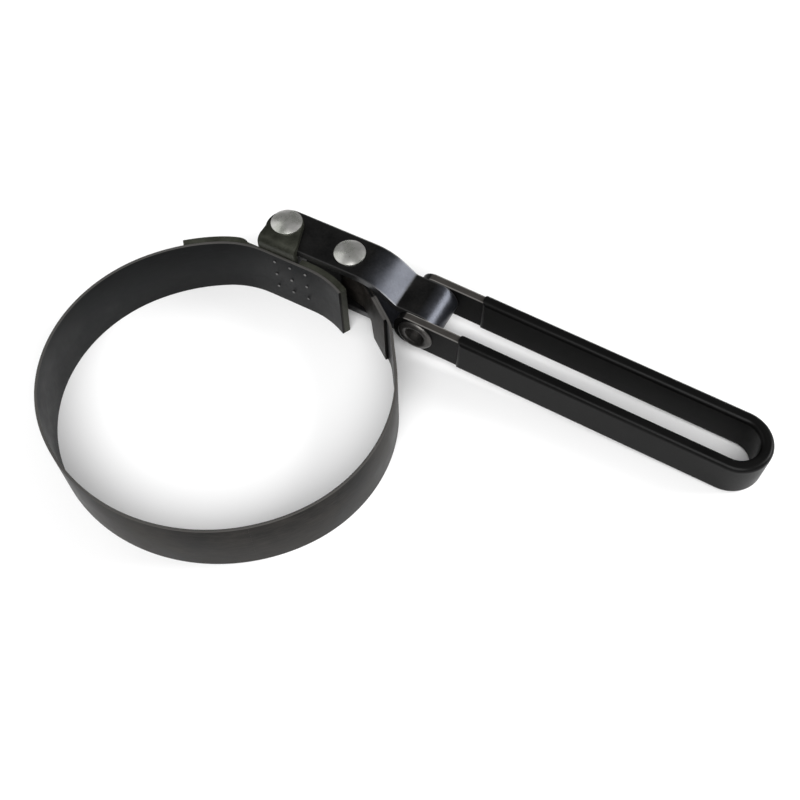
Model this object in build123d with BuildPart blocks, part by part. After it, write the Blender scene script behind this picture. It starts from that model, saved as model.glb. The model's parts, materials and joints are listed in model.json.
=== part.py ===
"""Band-type oil filter wrench with a swivelling loop handle.

A spring-steel band runs once round the filter.  Its first end is spot welded inside a stiff
shoe, and its other end is folded into an eye round a rivet in the lever.  The lever turns on
a second rivet held by the shoe's two ears, and pulls the band tight.  The handle swivels on a
hollow rivet through the lever's rolled knuckle.

Millimetres.  Origin at the middle of the band loop, on the plane of the band's lower rim.
+Z is up, along the filter's axis.  +X runs along the lever, towards the handle.
"""
import os
from math import acos, atan2, cos, degrees, hypot, radians, sin, sqrt

from build123d import *

# ---- band -----------------------------------------------------------------------------
band_width = 22.2
band_thickness = 0.85
loop_radius = 52.0            # mean radius of the band's inner face
loop_ovality = 1.8            # how much the open loop is longer and shorter than that mean
loop_tilt = 10.0              # direction of the loop's long axis, degrees from +X
segment_gap = 0.1             # slit between the band's flexing segments
end_arc_radius = 28.0         # band end inside the shoe curls in towards the filter
end_arc_sweep = 28.0
flat_length = 16.6            # straight stretch of band behind the shoe's ears
entry_arc_radius = 29.0       # bend where the flat stretch runs into the loop
free_start = 34.0             # the band leaves the round loop here, degrees from +X
free_length = 11.8            # then runs straight this far, up to the tail's bend
tail_bend_radius = 18.0
fold_length = 26.0            # how far the band is doubled back from its eye
tail_step = 1.4               # the eye's upper edge is this far below the band's
fold_shift = 0.4              # the two layers meet this far outwards of the eye's middle

# ---- shoe -----------------------------------------------------------------------------
shoe_thickness = 2.0
shoe_end_angle = 131.5        # where its plain end is, degrees round the loop
ear_width = 13.5
ear_end_radius = 5.4
ear_bend_radius = 0.5         # inside the bend
notch_left = 5.0              # relief notches beside each ear
notch_right = 1.7
notch_depth = 3.6
notch_corner_radius = 2.4

# ---- lever ----------------------------------------------------------------------------
lever_width = 14.2
lever_thickness = 2.3
lever_to_shoe = 0.4           # gap from the lever's edge to the shoe's wall
lever_to_band = 0.4           # gap from the lever's upper leg to the band's upper rim
lever_to_ear = 0.15
lower_leg_height = 5.1        # underside of the straight lower leg
ramp_start = 17.2             # corner where the upper leg turns down, before the handle rivet
ramp_end = 8.4                # corner where it is level again, before the handle rivet
ramp_upper_radius = 16.0      # of the bends at those corners, at mid-thickness
ramp_lower_radius = 3.0
knuckle_bore = 4.2            # radius

# ---- rivets ---------------------------------------------------------------------------
rivet_head_radius = 5.1
rivet_head_height = 1.6
pivot_offset = 9.6            # the pivot rivet is this far left of the loop's middle
rivet_spacing = 23.2
pivot_shank = 3.0             # radius
band_rivet_shank = 2.55       # radius
eye_clearance = 0.65          # radial, eye on band rivet
eye_rest_offset = 0.45        # the eye bears on the band rivet's far side when open
running_clearance = 0.06      # radial
spacer_radius = 4.6
weld_radius = 0.45
weld_height = 0.2
weld_pitch = 5.7
weld_rise = 6.3
weld_inset = 7.0              # middle spot from the right end of the straight stretch
weld_level = 12.8             # middle spot above the band's lower edge

# ---- handle ---------------------------------------------------------------------------
handle_reach = 51.8           # from the pivot rivet to the handle rivet
handle_length = 112.3         # from the handle rivet to the far end of the steel loop
handle_height = 12.8
handle_thickness = 2.5
handle_side_gap = 0.25        # between each ear and the lever
handle_ear_reach = 7.6        # ears run this far past the handle rivet
handle_ear_corner = 5.0
handle_droop = 2.3            # degrees below level when the wrench lies on a bench
grip_wall = 0.75
grip_start = 14.7             # the grip covers the loop from here to its far end
grip_edge_radius = 1.45
rivet_cap_radius = 5.6
rivet_cap_height = 1.4
rivet_rim_radius = 6.0
rivet_rim_height = 1.0
rivet_recess_radius = 3.3
rivet_recess_depth = 3.0

# ---- worked out from the sizes above ----------------------------------------------------
half_long = loop_radius + loop_ovality
half_short = loop_radius - loop_ovality
arc_difference = (half_long - half_short) / (sqrt(2) - 1)
arc_shift = arc_difference * sqrt(0.5)
tight_radius = half_long - arc_shift
wide_radius = half_short + arc_shift


def polar(centre, radius, angle):
    """Point at a distance and a direction, in degrees, from a centre in plan."""
    return (centre[0] + radius * cos(radians(angle)), centre[1] + radius * sin(radians(angle)))


def arc(centre, radius, start, end):
    """Stretch of band bent round a centre; radius is that of its inner face."""
    return {"centre": centre, "radius": radius, "start": start, "end": end}


def straight(start, end, normal):
    """Straight stretch of band; normal is the direction its outer face looks."""
    return {"from": start, "to": end, "normal": normal}


def ends(piece, offset):
    """Both ends of a stretch of band, offset outwards from its inner face."""
    if "centre" in piece:
        radius = piece["radius"] + offset
        return polar(piece["centre"], radius, piece["start"]), polar(piece["centre"], radius, piece["end"])
    return polar(piece["from"], offset, piece["normal"]), polar(piece["to"], offset, piece["normal"])


def draw_strip(pieces, inner, outer):
    """Closed outline of a strip along consecutive stretches, between two offsets."""
    for offset in (inner, outer):
        for piece in pieces:
            if "centre" in piece:
                sweep_angle = piece["end"] - piece["start"]
                CenterArc(piece["centre"], piece["radius"] + offset, piece["start"], sweep_angle)
            else:
                Line(*ends(piece, offset))
    Line(ends(pieces[0], inner)[0], ends(pieces[0], outer)[0])
    Line(ends(pieces[-1], inner)[1], ends(pieces[-1], outer)[1])


# the open loop is a four-centre oval; each arc's middle and the arc itself
right_centre = polar((0, 0), arc_shift, loop_tilt)
left_centre = polar((0, 0), arc_shift, loop_tilt + 180)
far_centre = polar((0, 0), arc_shift, loop_tilt - 90)
near_centre = polar((0, 0), arc_shift, loop_tilt + 90)
first_corner = loop_tilt + 135
second_corner = loop_tilt + 225
third_corner = loop_tilt + 315

entry_angle = 120.0
entry_end = polar(far_centre, wide_radius, entry_angle)
entry_centre = polar(entry_end, -entry_arc_radius, entry_angle)
flat_y = entry_centre[1] + entry_arc_radius
flat_left = (entry_centre[0], flat_y)
flat_right = (entry_centre[0] + flat_length, flat_y)
end_arc_centre = (flat_right[0], flat_y - end_arc_radius)

end_arc = arc(end_arc_centre, end_arc_radius, 90 - end_arc_sweep, 90)
flat = straight(flat_right, flat_left, 90)
entry_arc = arc(entry_centre, entry_arc_radius, 90, entry_angle)

wall_inner = flat_y + band_thickness
wall_outer = wall_inner + shoe_thickness
pivot = (-pivot_offset, wall_outer + lever_to_shoe + lever_width / 2)
band_pin = (pivot[0] + rivet_spacing, pivot[1])
handle_pin = (pivot[0] + handle_reach, pivot[1])
eye = (band_pin[0] + eye_rest_offset, band_pin[1])
eye_bore = band_rivet_shank + eye_clearance

upper_leg_low = band_width + lever_to_band
upper_leg_top = upper_leg_low + lever_thickness
lower_leg_top = lower_leg_height + lever_thickness
legs_middle = (upper_leg_top + lower_leg_height) / 2
knuckle_radius = knuckle_bore + lever_thickness / 2
handle_pin_height = lower_leg_height + lever_thickness + knuckle_bore
ear_low = upper_leg_top + lever_to_ear
ear_top = ear_low + shoe_thickness
lower_ear_low = 2 * legs_middle - ear_top
lower_ear_root = lower_ear_low + shoe_thickness + ear_bend_radius

# past the round loop the band runs straight, bends, and runs straight again to the eye
free_from = polar(right_centre, tight_radius, free_start)
free_to = polar(free_from, free_length, free_start + 90)
bend_centre = polar(free_to, -tail_bend_radius, free_start)
eye_distance = hypot(eye[0] - bend_centre[0], eye[1] - bend_centre[1])
eye_direction = degrees(atan2(eye[1] - bend_centre[1], eye[0] - bend_centre[0]))
tail_normal = eye_direction - degrees(acos((tail_bend_radius - fold_shift) / eye_distance))
tail_heading = tail_normal - 90               # from the eye towards the loop
tail_start = polar(bend_centre, tail_bend_radius, tail_normal)
layers_meet = polar(eye, fold_shift, tail_normal)
neck = (eye_bore + band_thickness) * 2.2      # where the two layers close behind the eye
neck_point = polar(layers_meet, neck, tail_heading)

os.makedirs("parts", exist_ok=True)


# ---- band end inside the shoe -------------------------------------------------------------
slit = degrees(segment_gap / 2 / wide_radius)
root_arc = arc(far_centre, wide_radius, entry_angle, first_corner - slit)
with BuildPart() as band_shoe_end:
    with BuildSketch():
        with BuildLine():
            draw_strip([end_arc, flat, entry_arc, root_arc], 0, band_thickness)
        make_face()
    extrude(amount=band_width)
band_shoe_end.part.label = "band_shoe_end"
export_step(band_shoe_end.part, "parts/band_shoe_end.step")


# ---- flexing band segments ------------------------------------------------------------------
segment_arcs = []
for start_angle in (first_corner, first_corner + 30, first_corner + 60):
    segment_arcs.append((left_centre, tight_radius, start_angle))
for start_angle in (second_corner, second_corner + 30, second_corner + 60):
    segment_arcs.append((near_centre, wide_radius, start_angle))
for start_angle in (third_corner, third_corner + 30):
    segment_arcs.append((right_centre, tight_radius, start_angle))

for number, (centre, radius, start_angle) in enumerate(segment_arcs, start=1):
    slit = degrees(segment_gap / 2 / radius)
    with BuildPart() as band_segment:
        with BuildSketch():
            with BuildLine():
                draw_strip([arc(centre, radius, start_angle + slit, start_angle + 30 - slit)],
                           0, band_thickness)
            make_face()
        extrude(amount=band_width)
    band_segment.part.label = f"band_segment_{number}"
    export_step(band_segment.part, f"parts/band_segment_{number}.step")


# ---- band tail: end of the loop, bend, doubled straight and eye ---------------------------------
slit = degrees(segment_gap / 2 / tight_radius)
tail_loop = arc(right_centre, tight_radius, third_corner + 60 - 360 + slit, free_start)
tail_free = straight(free_from, free_to, free_start)
tail_bend = arc(bend_centre, tail_bend_radius, free_start, tail_normal)
tail_run = straight(tail_start, neck_point, tail_normal)
fold_run = straight(polar(layers_meet, fold_length, tail_heading), neck_point, tail_normal)
eye_outer = eye_bore + band_thickness
with BuildPart() as band_tail:
    with BuildSketch():
        with BuildLine():
            draw_strip([tail_loop, tail_free, tail_bend, tail_run], 0, band_thickness)
        make_face()
        with BuildLine():
            draw_strip([fold_run], -band_thickness, 0.01)
        make_face()
    with BuildSketch() as eye_outline:
        with BuildLine():
            CenterArc(eye, eye_outer, 0, 360)
            Line(polar(neck_point, band_thickness, tail_normal),
                 polar(neck_point, -band_thickness, tail_normal))
        make_hull()
        offset(amount=-band_thickness, mode=Mode.SUBTRACT)
    extrude(amount=band_width)
    # both corners are cut away so that the eye sits between the lever's legs
    relief_height = lower_leg_top + 0.35
    edge_reach = lever_width / 2 + (band_thickness + fold_shift) * sin(radians(tail_normal))
    relief_reach = edge_reach / cos(radians(tail_normal)) + 0.4
    relief_plane = Plane(
        origin=(eye[0], eye[1], 0),
        x_dir=(cos(radians(tail_heading)), sin(radians(tail_heading)), 0),
        z_dir=(-cos(radians(tail_normal)), -sin(radians(tail_normal)), 0),
    )
    with BuildSketch(relief_plane):
        Polygon(
            (-2 * eye_outer, -1),
            (-2 * eye_outer, relief_height),
            (relief_reach, relief_height),
            (relief_reach + 0.9, -1),
            align=None,
        )
        Polygon(
            (-2 * eye_outer, band_width + 1),
            (-2 * eye_outer, band_width - tail_step),
            (relief_reach, band_width - tail_step),
            (relief_reach + 1.2, band_width + 1),
            align=None,
        )
    extrude(amount=2 * eye_outer, both=True, mode=Mode.SUBTRACT)
band_tail.part.label = "band_tail"
export_step(band_tail.part, "parts/band_tail.step")


# ---- shoe -------------------------------------------------------------------------------
ear_left = pivot[0] - ear_end_radius
ear_right = ear_left + ear_width
shoe_arc = arc(far_centre, wide_radius, entry_angle, shoe_end_angle)


def ear_outline():
    """Plan of an ear: its full width at the wall, narrowing to a round end."""
    corner = (ear_right, wall_outer + ear_bend_radius)
    reach = hypot(corner[0] - pivot[0], corner[1] - pivot[1])
    direction = degrees(atan2(corner[1] - pivot[1], corner[0] - pivot[0]))
    touch = polar(pivot, ear_end_radius, direction + degrees(acos(ear_end_radius / reach)))
    Polygon(
        (ear_left, wall_inner - 1),
        (ear_right, wall_inner - 1),
        corner,
        touch,
        pivot,
        (ear_left, pivot[1]),
        align=None,
    )
    with Locations(pivot):
        Circle(ear_end_radius)


with BuildPart() as upper_ear:
    # section: up the wall, over the bend and out past the pivot rivet
    with BuildSketch(Plane.YZ.offset(ear_left)):
        with BuildLine():
            FilletPolyline(
                (wall_inner + shoe_thickness / 2, legs_middle),
                (wall_inner + shoe_thickness / 2, ear_top - shoe_thickness / 2),
                (pivot[1] + 2 * ear_end_radius, ear_top - shoe_thickness / 2),
                radius=ear_bend_radius + shoe_thickness / 2,
            )
        trace(line_width=shoe_thickness)
    extrude(amount=ear_width)
    with BuildSketch():
        ear_outline()
    extrude(amount=2 * ear_top, mode=Mode.INTERSECT)

with BuildPart() as shoe:
    with BuildSketch():
        with BuildLine():
            draw_strip([end_arc, flat, entry_arc, shoe_arc], band_thickness,
                       band_thickness + shoe_thickness)
        make_face()
    extrude(amount=band_width)
    # relief notches beside the upper ear; below the lower ear the whole wall is cut away
    with BuildSketch(Plane.XZ.offset(-wall_inner)):
        with Locations((ear_left, band_width)):
            Rectangle(notch_left, 2 * notch_depth, align=(Align.MAX, Align.CENTER))
        with Locations((ear_right, band_width)):
            Rectangle(notch_right, 2 * notch_depth, align=(Align.MIN, Align.CENTER))
        with Locations((ear_left - notch_left, 0)):
            Rectangle(notch_left + ear_width + notch_right, 2 * lower_ear_root,
                      align=(Align.MIN, Align.CENTER))
    extrude(amount=-2 * shoe_thickness, mode=Mode.SUBTRACT)
    notch_corners = shoe.edges().filter_by(Axis.Y).filter_by_position(
        Axis.X, ear_left - notch_left - 0.01, ear_left - notch_left + 0.01)
    fillet(notch_corners.group_by(Axis.Z)[0] + notch_corners.group_by(Axis.Z)[-1],
           radius=notch_corner_radius)
    add(upper_ear.part)
    mirror(upper_ear.part, about=Plane.XY.offset(legs_middle))
    with Locations((pivot[0], pivot[1], legs_middle)):
        Hole(pivot_shank)
shoe.part.label = "shoe"
export_step(shoe.part, "parts/shoe.step")


# ---- spot welds on the band's inner face ------------------------------------------------------
weld_plane = Plane(
    origin=(flat_right[0] - weld_inset, flat_y, weld_level),
    x_dir=(1, 0, 0),
    z_dir=(0, -1, 0),
)
with BuildPart() as shoe_welds:
    with BuildSketch(weld_plane):
        with GridLocations(weld_pitch, weld_rise, 3, 3):
            Circle(weld_radius)
    extrude(amount=weld_height)
shoe_welds.part.label = "shoe_welds"
export_step(shoe_welds.part, "parts/shoe_welds.step")


# ---- lever ---------------------------------------------------------------------------------
upper_middle = upper_leg_top - lever_thickness / 2
level_middle = handle_pin_height + knuckle_radius
lower_middle = lower_leg_height + lever_thickness / 2
lever_end = pivot[0] - lever_width / 2
with BuildPart() as lever:
    with BuildSketch(Plane.XZ.offset(-pivot[1])):
        with BuildLine():
            FilletPolyline(
                (lever_end, upper_middle),
                (handle_pin[0] - ramp_start, upper_middle),
                (handle_pin[0] - ramp_end, level_middle),
                (handle_pin[0], level_middle),
                radius=(ramp_upper_radius, ramp_lower_radius),
            )
            JernArc((handle_pin[0], level_middle), (1, 0), knuckle_radius, -180)
            Line((handle_pin[0], lower_middle), (lever_end, lower_middle))
        trace(line_width=lever_thickness)
    extrude(amount=lever_width / 2, both=True)
    # both legs end in a half round about the pivot
    with BuildSketch():
        with Locations(pivot):
            Circle(lever_width / 2)
            Rectangle(2 * handle_reach, lever_width, align=(Align.MIN, Align.CENTER))
    extrude(amount=2 * upper_leg_top, mode=Mode.INTERSECT)
    with Locations((pivot[0], pivot[1], legs_middle)):
        Hole(pivot_shank + running_clearance)
    with Locations((band_pin[0], band_pin[1], legs_middle)):
        Hole(band_rivet_shank)
lever.part.label = "lever"
export_step(lever.part, "parts/lever.step")


# ---- rivets through the lever ------------------------------------------------------------------
def draw_rivet(shank, low, high):
    """Half section of a rivet with a domed head at each end, along its own axis."""
    edge = 0.25 * rivet_head_height
    TangentArc(
        (0, high + rivet_head_height),
        (rivet_head_radius, high + edge),
        tangent=(1, 0),
    )
    Polyline(
        (rivet_head_radius, high + edge),
        (rivet_head_radius, high),
        (shank, high),
        (shank, low),
        (rivet_head_radius, low),
        (rivet_head_radius, low - edge),
    )
    TangentArc(
        (0, low - rivet_head_height),
        (rivet_head_radius, low - edge),
        tangent=(1, 0),
    )
    Line((0, low - rivet_head_height), (0, high + rivet_head_height))


with BuildPart() as pivot_rivet:
    with BuildSketch(Plane(origin=(*pivot, 0), x_dir=(1, 0, 0), z_dir=(0, -1, 0))):
        with BuildLine():
            draw_rivet(pivot_shank, lower_ear_low, ear_top)
        make_face()
    revolve(axis=Axis((*pivot, 0), (0, 0, 1)))
pivot_rivet.part.label = "pivot_rivet"
export_step(pivot_rivet.part, "parts/pivot_rivet.step")

with BuildPart() as band_rivet:
    with BuildSketch(Plane(origin=(*band_pin, 0), x_dir=(1, 0, 0), z_dir=(0, -1, 0))):
        with BuildLine():
            draw_rivet(band_rivet_shank, lower_leg_height, upper_leg_top)
        make_face()
    revolve(axis=Axis((*band_pin, 0), (0, 0, 1)))
band_rivet.part.label = "band_rivet"
export_step(band_rivet.part, "parts/band_rivet.step")


# ---- sleeve that keeps the lever's legs apart on the pivot rivet -----------------------------------
with BuildPart() as pivot_spacer:
    with BuildSketch(Plane.XY.offset(lower_leg_top + lever_to_ear)):
        with Locations(pivot):
            Circle(spacer_radius)
            Circle(pivot_shank, mode=Mode.SUBTRACT)
    extrude(amount=upper_leg_low - lower_leg_top - 2 * lever_to_ear)
pivot_spacer.part.label = "pivot_spacer"
export_step(pivot_spacer.part, "parts/pivot_spacer.step")


# ---- handle: a steel strip bent into a long loop, open at the lever --------------------------------
droop = radians(handle_droop)
handle_plane = Plane(
    origin=(*handle_pin, handle_pin_height),
    x_dir=(cos(droop), 0, -sin(droop)),
    z_dir=(sin(droop), 0, cos(droop)),
)
ear_inner = lever_width / 2 + handle_side_gap
ear_outer = ear_inner + handle_thickness
arm_middle = ear_inner + handle_thickness / 2
bend_start_x = handle_length - ear_outer


def draw_handle(start):
    """Middle line of the handle's strip: one arm, the round end and the other arm."""
    Line((start, -arm_middle), (bend_start_x, -arm_middle))
    JernArc((bend_start_x, -arm_middle), (1, 0), arm_middle, 180)
    Line((bend_start_x, arm_middle), (start, arm_middle))


with BuildPart() as handle_frame:
    with BuildSketch(handle_plane):
        with BuildLine():
            draw_handle(-handle_ear_reach)
        trace(line_width=handle_thickness)
    extrude(amount=handle_height / 2, both=True)
    fillet(handle_frame.edges().filter_by(Axis.Y), radius=handle_ear_corner)
    with Locations(Location((*handle_pin, handle_pin_height), (90, 0, 0))):
        Hole(knuckle_bore - running_clearance)
handle_frame.part.label = "handle_frame"
export_step(handle_frame.part, "parts/handle_frame.step")


# ---- grip: sleeve over the handle's loop ---------------------------------------------------------
with BuildPart() as grip:
    with BuildSketch(handle_plane):
        with BuildLine():
            draw_handle(grip_start)
        trace(line_width=handle_thickness + 2 * grip_wall)
    extrude(amount=handle_height / 2 + grip_wall, both=True)
    long_edges = grip.edges().filter_by(lambda edge: edge.length > 3 * handle_thickness)
    fillet(long_edges.filter_by(Axis.Z, reverse=True), radius=grip_edge_radius)
    add(handle_frame.part, mode=Mode.SUBTRACT)
grip.part.label = "grip"
export_step(grip.part, "parts/grip.step")


# ---- handle rivet: hollow, clinched towards -Y and domed towards +Y ---------------------------------
handle_shank = knuckle_bore - running_clearance
cap_top = ear_outer + rivet_cap_height
recess_floor = -ear_outer - rivet_rim_height + rivet_recess_depth
with BuildPart() as handle_rivet:
    with BuildSketch(Plane(origin=(*handle_pin, handle_pin_height), x_dir=(0, 1, 0), z_dir=(1, 0, 0))):
        with BuildLine():
            Polyline(
                (cap_top, 0),
                (recess_floor, 0),
                (recess_floor, rivet_recess_radius),
                (-ear_outer - 0.5 * rivet_rim_height, rivet_recess_radius),
            )
            ThreePointArc(
                (-ear_outer - 0.5 * rivet_rim_height, rivet_recess_radius),
                (-ear_outer - rivet_rim_height, (handle_shank + rivet_rim_radius) / 2),
                (-ear_outer - 0.3 * rivet_rim_height, rivet_rim_radius),
            )
            Polyline(
                (-ear_outer - 0.3 * rivet_rim_height, rivet_rim_radius),
                (-ear_outer, rivet_rim_radius),
                (-ear_outer, handle_shank),
                (ear_outer, handle_shank),
                (ear_outer, rivet_cap_radius),
                (ear_outer + 0.2 * rivet_cap_height, rivet_cap_radius),
            )
            TangentArc(
                (cap_top, 0),
                (ear_outer + 0.2 * rivet_cap_height, rivet_cap_radius),
                tangent=(0, 1),
            )
        make_face()
    revolve(axis=Axis((*handle_pin, handle_pin_height), (0, 1, 0)))
handle_rivet.part.label = "handle_rivet"
export_step(handle_rivet.part, "parts/handle_rivet.step")
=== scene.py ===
"""Oil filter wrench: the band as continuous strips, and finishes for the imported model.  Metres."""
import json
from math import acos, atan2, cos, degrees, hypot, pi, radians, sin

import bpy
import numpy as np
from mathutils import Euler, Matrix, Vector


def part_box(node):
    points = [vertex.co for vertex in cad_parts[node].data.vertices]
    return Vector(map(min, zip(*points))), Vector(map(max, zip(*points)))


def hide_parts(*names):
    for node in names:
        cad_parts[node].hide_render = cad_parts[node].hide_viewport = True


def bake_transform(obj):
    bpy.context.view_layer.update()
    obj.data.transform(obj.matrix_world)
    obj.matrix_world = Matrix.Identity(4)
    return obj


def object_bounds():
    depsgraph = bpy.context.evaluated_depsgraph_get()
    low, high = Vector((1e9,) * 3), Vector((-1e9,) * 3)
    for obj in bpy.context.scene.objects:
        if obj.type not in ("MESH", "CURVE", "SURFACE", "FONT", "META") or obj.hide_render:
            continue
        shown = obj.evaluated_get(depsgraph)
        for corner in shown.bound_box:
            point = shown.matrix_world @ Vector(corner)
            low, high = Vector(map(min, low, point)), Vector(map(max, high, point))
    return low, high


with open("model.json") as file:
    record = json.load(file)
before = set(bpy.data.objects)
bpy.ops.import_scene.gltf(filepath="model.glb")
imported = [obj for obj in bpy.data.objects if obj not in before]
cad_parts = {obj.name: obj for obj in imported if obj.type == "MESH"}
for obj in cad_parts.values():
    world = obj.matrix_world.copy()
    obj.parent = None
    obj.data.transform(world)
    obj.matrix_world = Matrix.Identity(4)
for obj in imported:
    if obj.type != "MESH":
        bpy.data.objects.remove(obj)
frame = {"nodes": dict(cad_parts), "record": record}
cad_low, cad_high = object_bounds()

MM = 0.001
record = frame["record"]
joints = {joint["name"]: joint for joint in record["behaviour"]["joints"]}


# ---- meshes ------------------------------------------------------------------------------
def mesh_piece(name, points, faces, attributes=None):
    """An object from points (n, 3) and faces; attributes holds one number per point by name."""
    mesh = bpy.data.meshes.new(name)
    mesh.from_pydata(points.tolist(), [], faces)
    mesh.polygons.foreach_set("use_smooth", np.ones(len(mesh.polygons), bool))
    for key, values in (attributes or {}).items():
        mesh.attributes.new(key, "FLOAT", "POINT").data.foreach_set("value", values.astype(np.float32))
    mesh.set_sharp_from_angle(angle=radians(50))
    piece = bpy.data.objects.new(name, mesh)
    bpy.context.scene.collection.objects.link(piece)
    return piece


def tube_faces(rows, columns):
    """Quads of a grid of rows by columns whose columns run round and close on themselves."""
    row, column = np.meshgrid(np.arange(rows - 1), np.arange(columns), indexing="ij")
    after = (column + 1) % columns
    quads = [row * columns + column, row * columns + after,
             (row + 1) * columns + after, (row + 1) * columns + column]
    return np.stack(quads, -1).reshape(-1, 4)


def corner_ring(half_width, half_height, radius, steps=4):
    """Outline of a rectangle with round corners, anticlockwise, as (n, 2)."""
    turn = np.linspace(0, pi / 2, steps)
    corners = []
    for quarter, (side, level) in enumerate(((1, 1), (-1, 1), (-1, -1), (1, -1))):
        angle = turn + quarter * pi / 2
        corners.append(np.stack([side * (half_width - radius) + radius * np.cos(angle),
                                 level * (half_height - radius) + radius * np.sin(angle)], -1))
    return np.concatenate(corners)


# ---- band: one strip on edge, carried along its plan path -------------------------------------
def circle_through(a, b, c):
    """Centre and radius of the circle through three points in plan."""
    ax, ay, bx, by, cx, cy = *a[:2], *b[:2], *c[:2]
    d = 2 * (ax * (by - cy) + bx * (cy - ay) + cx * (ay - by))
    x = ((ax**2 + ay**2) * (by - cy) + (bx**2 + by**2) * (cy - ay) + (cx**2 + cy**2) * (ay - by)) / d
    y = ((ax**2 + ay**2) * (cx - bx) + (bx**2 + by**2) * (ax - cx) + (cx**2 + cy**2) * (bx - ax)) / d
    return np.array([x, y]), hypot(ax - x, ay - y)


def polar(centre, radius, angle):
    """Point at a radius and an angle in degrees from a centre in plan."""
    return np.array([centre[0] + radius * cos(radians(angle)), centre[1] + radius * sin(radians(angle))])


def arc_points(centre, radius, start, end, spacing=1.2 * MM):
    """Points along an arc between two angles in degrees, about evenly spaced."""
    count = max(3, int(abs(radians(end - start)) * radius / spacing) + 1)
    angle = np.radians(np.linspace(start, end, count))
    return np.stack([centre[0] + radius * np.cos(angle), centre[1] + radius * np.sin(angle)], -1)


def line_points(start, end, spacing=1.5 * MM):
    """Points along a straight line in plan."""
    count = max(2, int(hypot(*(end - start)) / spacing) + 1)
    return start + (end - start) * np.linspace(0, 1, count)[:, None]


def joined(*stretches):
    """One run of points from several, leaving out those that repeat."""
    points = np.concatenate(stretches)
    step = np.hypot(*np.diff(points, axis=0).T)
    return points[np.concatenate([[True], step > 1e-7])]


# sizes that no box gives, the same as the part's except for the corner cuts' place
band_thickness = 0.85 * MM
edge_round = 0.16 * MM                    # rounding of the band's rims
loop_tilt = 10                            # turn of the oval loop, in degrees
first_hinge = loop_tilt + 135             # place of the first hinge on the loop, in degrees
hinge_step = 30                           # from one hinge to the next, in degrees
hinge_count = 9
entry_angle = 120                         # where the shoe end runs into the oval, in degrees
entry_bend, end_bend = 29 * MM, 28 * MM   # inner radii at the two ends of the straight stretch
end_sweep = 28                            # turn of the end bend, in degrees
flat_length = 16.6 * MM                   # straight stretch behind the shoe's ears
free_angle = loop_tilt + 24               # where the tail leaves the oval, in degrees
free_length = 11.8 * MM
tail_inner_bend = 18 * MM
eye_offset = 0.45 * MM                    # the eye rests off the rivet's middle
neck_reach = 2.2                          # from the eye to where its layers part, in outer radii
fold_shift, fold_length = 0.4 * MM, 26 * MM
cut_start, cut_run = 15.3 * MM, 0.9 * MM  # from the eye to the corner cuts, and their slope's run
lower_cut, upper_cut = 7.75 * MM, 1.4 * MM


def band_strip(name, path, low, high):
    """The band carried along its middle line, on edge, with round corners and closed ends.

    A point of the strip is a point of the path, plus the sideways direction there times the
    outline's width, at the height of the nearer edge plus the outline's rounding.  low and high
    give the band's lower and upper edge at every point of the path.
    """
    heading = np.gradient(path, axis=0)
    heading /= np.hypot(*heading.T)[:, None]
    side = np.stack([heading[:, 1], -heading[:, 0]], -1)          # away from the filter
    ring = corner_ring(band_thickness / 2, edge_round, edge_round)
    inset = ring[:, 1] - np.where(ring[:, 1] >= 0, edge_round, -edge_round)
    height = np.where(ring[:, 1] >= 0, high[:, None], low[:, None]) + inset
    plan = path[:, None] + side[:, None] * ring[None, :, :1]
    points = np.concatenate([plan, height[..., None]], -1).reshape(-1, 3)
    count = len(ring)
    faces = tube_faces(len(path), count).tolist()
    faces.append(list(range(count))[::-1])
    faces.append([(len(path) - 1) * count + column for column in range(count)])
    outward = np.tile(ring[:, 0] / band_thickness + 0.5, len(path))
    return mesh_piece(name, points, faces, {"outward": outward})


middle = band_thickness / 2
rim_low, rim_high = (corner.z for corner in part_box("band_segment_2"))
flex_names = [f"band_flex_{number}" for number in range(1, hinge_count)] + ["tail_flex"]
flex = [np.array(joints[name]["pos_m"]) for name in flex_names]
left_circle = circle_through(flex[1], flex[2], flex[3])
near_circle = circle_through(flex[3], flex[4], flex[5])
right_circle = circle_through(flex[6], flex[7], flex[8])
segment_circles = [left_circle] * 3 + [near_circle] * 3 + [right_circle] * 2


def shoe_end_path():
    """From the free end: a bend, the straight stretch, a bend into the oval, up to hinge 1."""
    near_centre, wide_radius = near_circle
    far_centre = -near_centre
    entry_radius, end_radius = entry_bend + middle, end_bend + middle
    flat_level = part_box("band_shoe_end")[1].y - middle
    entry_centre = polar(far_centre, wide_radius - entry_radius, entry_angle)
    flat_left = np.array([entry_centre[0], flat_level])
    flat_right = flat_left + np.array([flat_length, 0])
    end_centre = flat_right - np.array([0, end_radius])
    return joined(
        arc_points(end_centre, end_radius, 90 - end_sweep, 90),
        line_points(flat_right, flat_left),
        arc_points(entry_centre, entry_radius, 90, entry_angle),
        arc_points(far_centre, wide_radius, entry_angle, first_hinge),
    )


rivet_low, rivet_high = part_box("band_rivet")
eye = np.array([0.5 * (rivet_low.x + rivet_high.x) + eye_offset, 0.5 * (rivet_low.y + rivet_high.y)])
eye_radius = eye[0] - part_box("band_tail")[0].x - middle
tail_bend = tail_inner_bend + middle
free_from = polar(*right_circle, free_angle)
free_to = polar(free_from, free_length, free_angle + 90)
bend_centre = polar(free_to, -tail_bend, free_angle)
to_eye = eye - bend_centre
tail_turn = acos((tail_inner_bend - fold_shift) / hypot(*to_eye))
tail_normal = degrees(atan2(to_eye[1], to_eye[0]) - tail_turn)
tail_heading = tail_normal - 90


def leaves_eye(point, turn):
    """Angle on the eye where a straight run from a point touches it; turn is 1 or -1."""
    away = point - eye
    return degrees(atan2(away[1], away[0]) + turn * acos(eye_radius / hypot(*away)))


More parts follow.
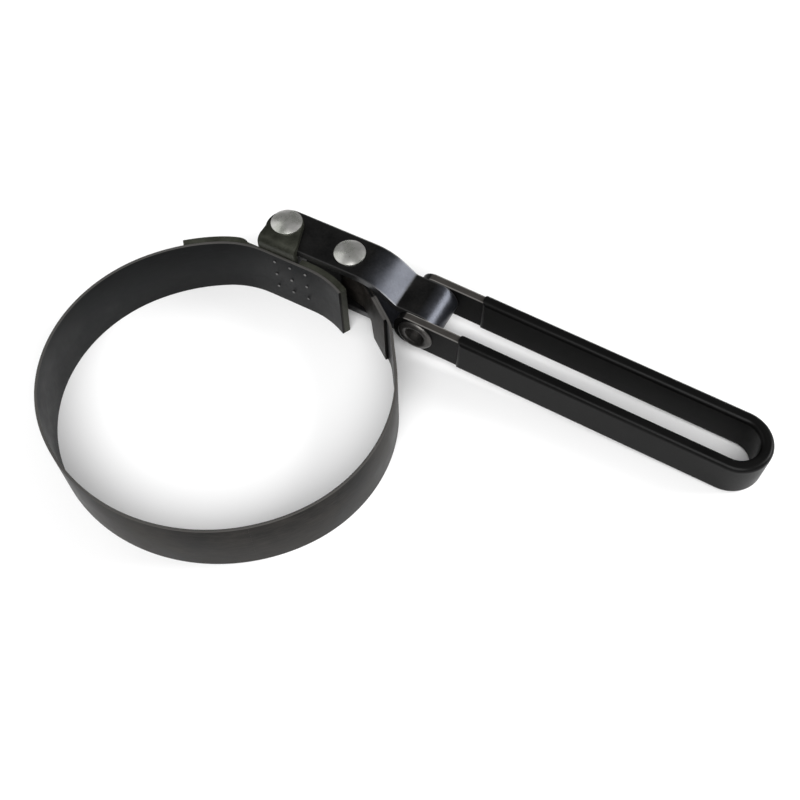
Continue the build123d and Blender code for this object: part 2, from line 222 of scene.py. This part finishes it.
def tail_end_path():
    """From the last hinge: out of the oval, a bend, straight to the eye, round it and back."""
    last_hinge = first_hinge + (hinge_count - 1) * hinge_step - 360
    neck_length = neck_reach * (eye_radius + middle)
    neck = polar(polar(eye, fold_shift, tail_normal), neck_length, tail_heading)
    outer, inner = polar(neck, middle, tail_normal), polar(neck, -middle, tail_normal)
    eye_on, eye_off = leaves_eye(outer, 1), leaves_eye(inner, -1) + 360
    return joined(
        arc_points(*right_circle, last_hinge, free_angle),
        line_points(free_from, free_to),
        arc_points(bend_centre, tail_bend, free_angle, tail_normal),
        line_points(polar(bend_centre, tail_bend, tail_normal), outer),
        line_points(outer, polar(eye, eye_radius, eye_on)),
        arc_points(eye, eye_radius, eye_on, eye_off, spacing=0.5 * MM),
        line_points(polar(eye, eye_radius, eye_off), inner),
        line_points(inner, polar(inner, fold_length - neck_length, tail_heading)),
    )


def tail_edges(path):
    """Lower and upper edge along the tail: both corners are cut back near the lever's legs."""
    along = (path - eye) @ polar((0, 0), 1, tail_heading)
    cut = np.clip((cut_start + cut_run - along) / cut_run, 0, 1)
    return rim_low + cut * lower_cut, rim_high - cut * upper_cut


def band_piece(number):
    """The strip about one hinge, from the middle of a segment to the middle of the next."""
    first, last = number == 1, number == hinge_count
    angle = first_hinge + hinge_step * (number - 1)
    half = hinge_step / 2
    before = shoe_end_path() if first else arc_points(*segment_circles[number - 2], angle - half, angle)
    after = tail_end_path() if last else arc_points(*segment_circles[number - 1], angle, angle + half)
    path = joined(before, after)
    edges = tail_edges(path) if last else (np.full(len(path), rim_low), np.full(len(path), rim_high))
    piece = band_strip(f"band_{number}", path, *edges)
    node = "band_tail" if last else f"band_segment_{number}"
    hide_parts(*(["band_shoe_end", node] if first else [node]))
    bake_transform(piece)
    return piece


band_pieces = [band_piece(number) for number in range(1, hinge_count + 1)]


# ---- finishes ------------------------------------------------------------------------------
class Value:
    """A number on its way through a material, which ordinary arithmetic works on."""

    def __init__(self, finish, socket):
        self.finish, self.socket = finish, socket

    def _with(self, operation, first, second):
        return self.finish.node("ShaderNodeMath", {"operation": operation}, {0: first, 1: second})

    def __add__(self, other):
        return self._with("ADD", self, other)

    def __sub__(self, other):
        return self._with("SUBTRACT", self, other)

    def __rsub__(self, other):
        return self._with("SUBTRACT", other, self)

    def __mul__(self, other):
        return self._with("MULTIPLY", self, other)

    __radd__, __rmul__ = __add__, __mul__


class Finish:
    """A material: its principled shader and the few patterns that these finishes share."""

    def __init__(self, name, **sockets):
        self.material = bpy.data.materials.new(name)
        self.material.use_nodes = True
        self.tree = self.material.node_tree
        self.shader = self.tree.nodes["Principled BSDF"]
        self.place = self.node("ShaderNodeTexCoord", output="Object")
        for key, value in sockets.items():
            self.shader.inputs[key.replace("_", " ")].default_value = value

    def node(self, kind, settings=None, sockets=None, output=0):
        """Adds a node: settings first, then values or links of its sockets; gives one output."""
        made = self.tree.nodes.new(kind)
        for key, value in (settings or {}).items():
            setattr(made, key, value)
        for key, value in (sockets or {}).items():
            if isinstance(value, Value):
                self.tree.links.new(value.socket, made.inputs[key])
            else:
                made.inputs[key].default_value = value
        return Value(self, made.outputs[output])

    def drive(self, **sockets):
        """Links values to the shader's sockets."""
        for key, value in sockets.items():
            self.tree.links.new(value.socket, self.shader.inputs[key.replace("_", " ")])

    def stretched(self, x, y, z):
        """Object coordinates with each axis scaled, so that a pattern runs along one of them."""
        return self.node("ShaderNodeMapping", {}, {"Vector": self.place, "Scale": (x, y, z)})

    def noise(self, scale, detail=4.0, rough=0.55, place=None):
        """Noise from 0 to 1."""
        return self.node("ShaderNodeTexNoise", {}, {
            "Vector": place or self.place, "Scale": scale, "Detail": detail, "Roughness": rough})

    def between(self, value, low, high, first=0.0, last=1.0):
        """first at low, last at high, straight between and level outside."""
        return self.node("ShaderNodeMapRange", {"clamp": True}, {
            "Value": value, "From Min": low, "From Max": high, "To Min": first, "To Max": last})

    def blend(self, factor, first, second):
        """Colour from first to second."""
        return self.node("ShaderNodeMix", {"data_type": "RGBA"}, {0: factor, 6: first, 7: second}, output=2)

    def bump(self, height, strength, distance):
        """Normal with a height pattern on it."""
        return self.node("ShaderNodeBump", {}, {
            "Height": height, "Strength": strength, "Distance": distance})

    def axis(self, name):
        """One object coordinate, in metres."""
        return self.node("ShaderNodeSeparateXYZ", {}, {0: self.place}, output=name)


def grey(level, warm=0.0):
    """A grey colour, a little warm or, below zero, a little blue."""
    return (level * (1 + warm), level, level * (1 - warm), 1.0)


def blued_steel(name, dark, light, metallic=0.85, roughness=0.42):
    """Blued steel: mottled patina, a fine grain, and scuffs that run level round the piece."""
    finish = Finish(name, Metallic=metallic, Specular_IOR_Level=0.3)
    mottle = finish.noise(scale=90, detail=6, rough=0.62)
    fine = finish.noise(scale=900, detail=3, rough=0.7)
    level_marks = finish.noise(scale=60, detail=8, rough=0.7, place=finish.stretched(1, 1, 9))
    scuff = finish.between(level_marks, 0.60, 0.72)
    tone = finish.between(mottle * 0.75 + fine * 0.25, 0.36, 0.66)
    colour = finish.blend(tone, dark, light)
    colour = finish.blend(scuff * 0.25, colour, grey(0.12, warm=0.02))
    finish.drive(Base_Color=colour,
                 Roughness=finish.between(mottle, 0.3, 0.7, roughness - 0.08, roughness + 0.12),
                 Normal=finish.bump(fine, strength=0.18, distance=0.05 * MM))
    return finish


def band_finish():
    """Blued band: bluish inside and browner outside, the inner face painted darker as painted shade inside
    the loop; a painted highlight runs along both rims, stronger on the upper one.
    """
    finish = Finish("band_steel", Metallic=0.03, Specular_IOR_Level=0.07)
    outward = finish.node("ShaderNodeAttribute", {"attribute_name": "outward"}, output="Fac")
    mottle = finish.noise(scale=70, detail=6, rough=0.6)
    fine = finish.noise(scale=1000, detail=3, rough=0.7)
    streak = finish.noise(scale=240, detail=5, rough=0.65, place=finish.stretched(1, 1, 12))
    height = finish.axis("Z")
    # painted highlight: the band is lightened along its upper rim, and more faintly along its lower rim
    top_rim_highlight = finish.between(height, rim_high - 0.35 * MM, rim_high - 0.1 * MM)
    foot_rim_highlight = finish.between(height, rim_low + 0.35 * MM, rim_low + 0.1 * MM)
    tone = finish.between(mottle * 0.6 + streak * 0.4, 0.40, 0.62)
    # painted shade: the inner face gets a darker colour than the outer face, standing in for shade inside
    # the loop
    inside = finish.blend(tone, grey(0.0012, warm=-0.2), grey(0.0055, warm=-0.12))
    outside = finish.blend(tone, grey(0.0015, warm=0.14), grey(0.022, warm=0.12))
    colour = finish.blend(outward, inside, outside)
    # the painted rim highlight is blended into the band's colour here
    colour = finish.blend(top_rim_highlight * 0.6 + foot_rim_highlight * 0.2, colour, grey(0.09, warm=0.04))
    finish.drive(Base_Color=colour,
                 Roughness=finish.between(mottle, 0.3, 0.7, 0.34, 0.5),
                 Normal=finish.bump(fine, strength=0.12, distance=0.04 * MM))
    return finish


def lever_finish():
    """Blued lever: nearly black, with a painted highlight lightening the ramp and the knuckle bend, and a
    painted highlight along both long edges.
    """
    finish = Finish("lever_steel", Metallic=0.9)
    low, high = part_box("lever")
    mottle = finish.noise(scale=120, detail=6, rough=0.62)
    fine = finish.noise(scale=1300, detail=3, rough=0.75)
    across, along = finish.axis("Y"), finish.axis("X")
    # painted highlight along both long edges of the lever
    edge = (finish.between(across, low.y + 0.55 * MM, low.y + 0.15 * MM)
            + finish.between(across, high.y - 0.55 * MM, high.y - 0.15 * MM))
    # painted highlight: the ramp and the knuckle are lightened to bluish grey where they face the light
    ramp = finish.between(along, 20 * MM, 27 * MM) * finish.between(along, 34.2 * MM, 33.2 * MM)
    knuckle = finish.between(along, 41 * MM, 45 * MM)
    worn = finish.between(mottle * 0.6 + fine * 0.4, 0.38, 0.62)
    colour = finish.blend(worn, grey(0.010), grey(0.022, warm=0.02))
    ramp_knuckle_highlight = (ramp * 0.75 + knuckle) * (worn * 0.4 + 0.6)
    colour = finish.blend(ramp_knuckle_highlight, colour, (0.075, 0.080, 0.095, 1.0))
    # the painted edge highlight is blended in here
    colour = finish.blend(edge * 0.5, colour, grey(0.14))
    finish.drive(Base_Color=colour,
                 Roughness=finish.between(mottle, 0.3, 0.7, 0.30, 0.46),
                 Normal=finish.bump(fine, strength=0.15, distance=0.05 * MM))
    return finish


def plated(name, colour, roughness):
    """Bright plate with a fine grain."""
    finish = Finish(name, Metallic=1.0)
    grain = finish.noise(scale=1500, detail=3, rough=0.7)
    cloud = finish.noise(scale=260, detail=4, rough=0.6)
    finish.drive(Base_Color=finish.blend(finish.between(cloud, 0.35, 0.7), colour, grey(0.66, warm=0.02)),
                 Roughness=finish.between(cloud, 0.3, 0.7, roughness, roughness + 0.1),
                 Normal=finish.bump(grain, strength=0.08, distance=0.03 * MM))
    return finish


def black_finish(name, level, roughness, grain_scale, grain_depth, coat):
    """Black coating with a fine grain and slightly uneven gloss."""
    finish = Finish(name, Metallic=0.0, Specular_IOR_Level=0.08,
                    Coat_Weight=coat, Coat_Roughness=0.2)
    grain = finish.noise(scale=grain_scale, detail=4, rough=0.7)
    cloud = finish.noise(scale=60, detail=5, rough=0.6)
    colour = finish.blend(finish.between(cloud, 0.35, 0.7), grey(level), grey(level * 1.8, warm=0.02))
    finish.drive(Base_Color=colour,
                 Roughness=finish.between(cloud, 0.3, 0.7, roughness - 0.05, roughness + 0.1),
                 Normal=finish.bump(grain, strength=grain_depth, distance=0.1 * MM))
    return finish


def handle_finish():
    """Black handle strip: its cut upper face is painted warm grey as a painted highlight, brighter along
    both corners as painted highlight lines.
    """
    finish = black_finish("handle_steel", level=0.002, roughness=0.38, grain_scale=900,
                          grain_depth=0.35, coat=0.02)
    low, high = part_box("handle_frame")
    droop = 0.0402                       # fall of the handle per length
    strip = 2.5 * MM                     # thickness of the handle's strip
    rise = finish.axis("Z") + finish.axis("X") * droop
    crest = high.z + low.x * droop
    # painted highlight on the upper face of the strip, the face turned up
    cut = finish.between(rise, crest - 0.2 * MM, crest - 0.05 * MM)
    grain = finish.noise(scale=700, detail=4, rough=0.7, place=finish.stretched(0.3, 1, 1))
    middle_y = 0.5 * (low.y + high.y)
    across = finish.node("ShaderNodeMath", {"operation": "ABSOLUTE"}, {0: finish.axis("Y") - middle_y})
    outer_y = high.y - middle_y
    # painted highlight lines along both corners of the upper face
    corner = (finish.between(across, outer_y - 0.4 * MM, outer_y - 0.15 * MM)
              + finish.between(across, outer_y - strip + 0.4 * MM, outer_y - strip + 0.15 * MM))
    colour = finish.blend(grain, grey(0.012, warm=0.08), grey(0.045, warm=0.08))
    colour = finish.blend(corner * 0.6, colour, grey(0.20, warm=0.04))
    coating = Value(finish, finish.shader.inputs["Base Color"].links[0].from_socket)
    finish.drive(Base_Color=finish.blend(cut, coating, colour))
    return finish


finishes = {
    "band_steel": band_finish(),
    "shoe_steel": blued_steel("shoe_steel", dark=(0.015, 0.016, 0.011, 1.0),
                              light=(0.050, 0.052, 0.040, 1.0), metallic=0.5),
    "weld_steel": blued_steel("weld_steel", grey(0.10), grey(0.25, warm=0.02)),
    "lever_steel": lever_finish(),
    "rivet_steel": plated("rivet_steel", (0.46, 0.47, 0.43, 1.0), roughness=0.24),
    "sleeve_steel": blued_steel("sleeve_steel", grey(0.2), grey(0.35)),
    "handle_steel": handle_finish(),
    "hollow_rivet_steel": blued_steel("hollow_rivet_steel", grey(0.03, warm=0.04),
                                      grey(0.14, warm=0.04), roughness=0.3),
    "grip_plastic": black_finish("grip_plastic", level=0.0015, roughness=0.34, grain_scale=1400,
                                 grain_depth=0.2, coat=0.05),
}
for entry in record["subparts"]:
    node = frame["nodes"][entry["node"]]
    finish = finishes[entry["material_slot"]].material
    if node.data.materials:
        node.material_slots[0].material = finish
    else:
        node.data.materials.append(finish)
for piece in band_pieces:
    piece.data.materials.append(finishes["band_steel"].material)


# ---- floor, light and camera ------------------------------------------------------------------
floor_gap, floor_size = 0.05 * MM, 30
bpy.ops.mesh.primitive_plane_add(size=floor_size, location=(0, 0, cad_low.z - floor_gap))
floor = bpy.context.object
floor.name = "floor"
paper = Finish("white_paper", Base_Color=grey(0.93), Roughness=0.9, Specular_IOR_Level=0.1)
floor.data.materials.append(paper.material)

world = bpy.data.worlds.new("soft_white")
world.use_nodes = True
sky = world.node_tree.nodes["Background"]
sky.inputs["Color"].default_value = grey(1)
sky.inputs["Strength"].default_value = 0.3
bpy.context.scene.world = world


def hang(light, place, toward):
    """Puts a light at a place, shining from the direction toward."""
    lamp = bpy.data.objects.new(light.name, light)
    lamp.location = place
    lamp.rotation_euler = toward.to_track_quat("Z", "Y").to_euler()
    bpy.context.scene.collection.objects.link(lamp)


def softbox(name, azimuth, elevation, distance, size, power):
    """A square area light aimed at the lever, from a direction in degrees."""
    toward = Vector((cos(radians(elevation)) * cos(radians(azimuth)),
                     cos(radians(elevation)) * sin(radians(azimuth)), sin(radians(elevation))))
    light = bpy.data.lights.new(name, "AREA")
    light.size, light.energy = size, power
    hang(light, lights_aim + toward * distance, toward)


lights_aim = Vector((0.04, 0.03, 0.01))
softbox("right_window", azimuth=37, elevation=30, distance=1.2, size=0.55, power=9)
softbox("left_fill", azimuth=190, elevation=40, distance=1.8, size=1.6, power=6)
daylight = bpy.data.lights.new("daylight", "SUN")
daylight.energy, daylight.angle = 3.0, radians(50)
hang(daylight, Vector((0, 0, 0)), Vector((0.30, -0.56, 0.77)))

camera = bpy.data.cameras.new("camera")
camera.lens, camera.sensor_width = 50.47, 36
viewer = bpy.data.objects.new("camera", camera)
viewer.location = (0.14023, -0.12940, 0.30332)
viewer.rotation_euler = Euler((radians(31.360), radians(1.200), radians(28.663)))
bpy.context.scene.collection.objects.link(viewer)
bpy.context.scene.camera = viewer
bpy.context.scene.view_settings.view_transform = "Standard"
